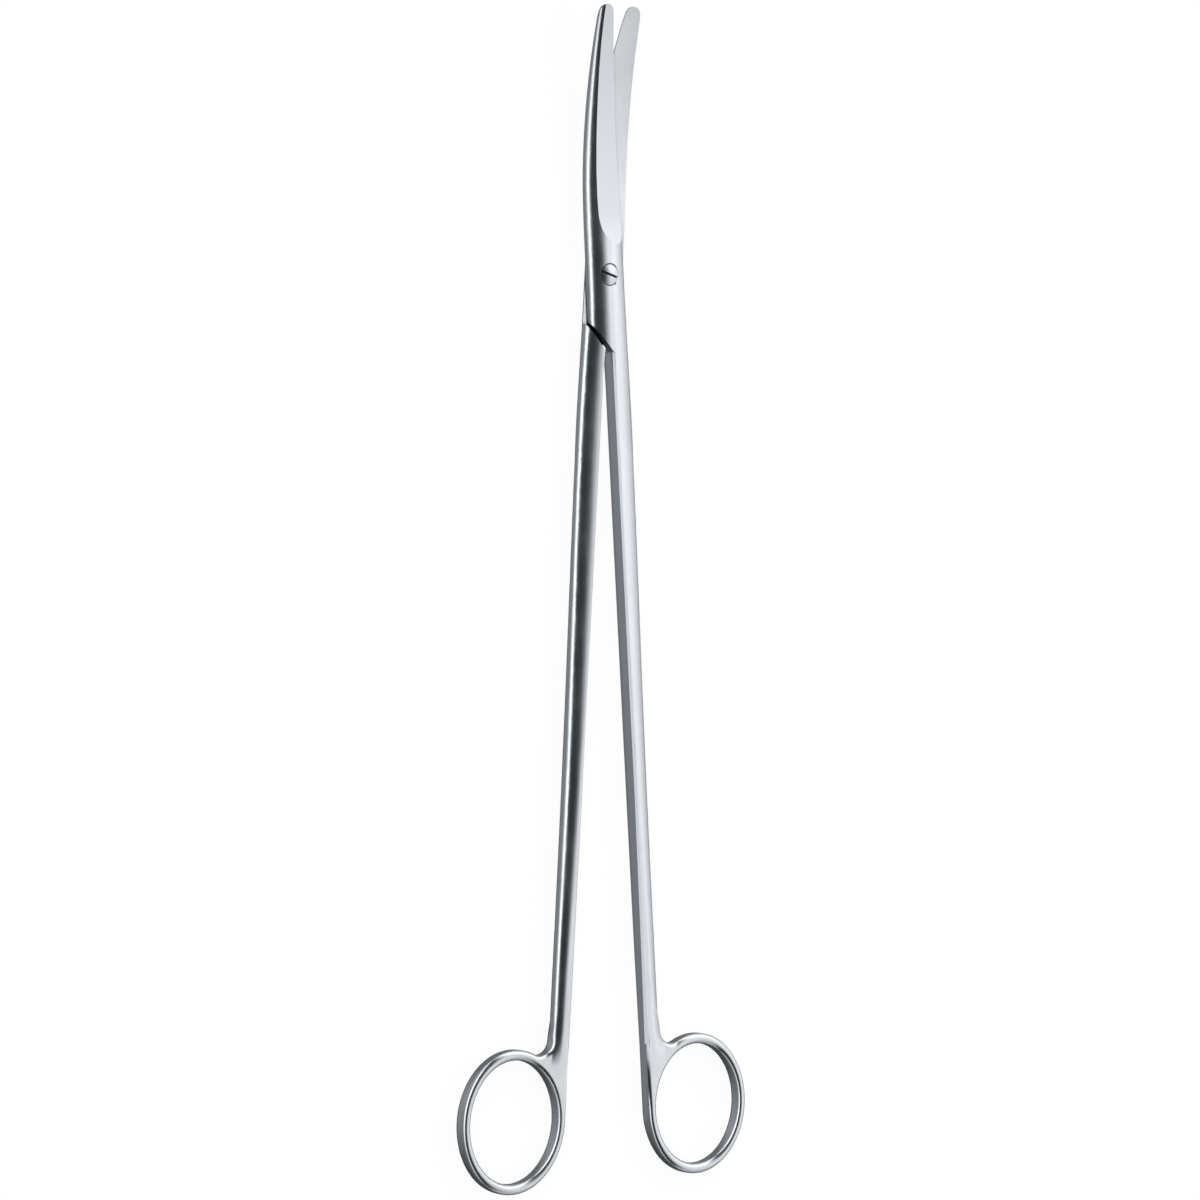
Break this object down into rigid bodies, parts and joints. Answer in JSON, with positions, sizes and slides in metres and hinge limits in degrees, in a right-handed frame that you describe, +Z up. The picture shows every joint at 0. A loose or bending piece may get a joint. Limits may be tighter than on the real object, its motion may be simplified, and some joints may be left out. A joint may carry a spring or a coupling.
{
  "type": "lobectomy scissors",
  "caption": "Slim long-shanked scissors with curved blunt-tipped blades, a slotted pivot screw and oval finger rings, slightly open.",
  "frame": {"origin": "where the pivot's axis meets the flat that the scissors lie on, under the joint", "axes": "+Y along the scissors towards the tips, +Z up along the pivot towards the screw's slotted head and the side that the blades curve to, +X towards the ring of the front half"},
  "size_m": [0.0782, 0.2537, 0.0087],
  "materials": {
    "forged_steel": "satin polished stainless steel",
    "screw_steel": "turned and polished stainless steel"
  },
  "bodies": {
    "back": {"back_half": "forged_steel", "pivot_screw": "screw_steel"},
    "front": {"front_half": "forged_steel"}
  },
  "joints": [
    {"name": "blade_pivot", "type": "hinge", "parent": "back", "child": "front", "pos_m": [0, 0, 0.0021], "axis": [0, 0, 1], "range_deg": [-6.9, 60]}
  ]
}
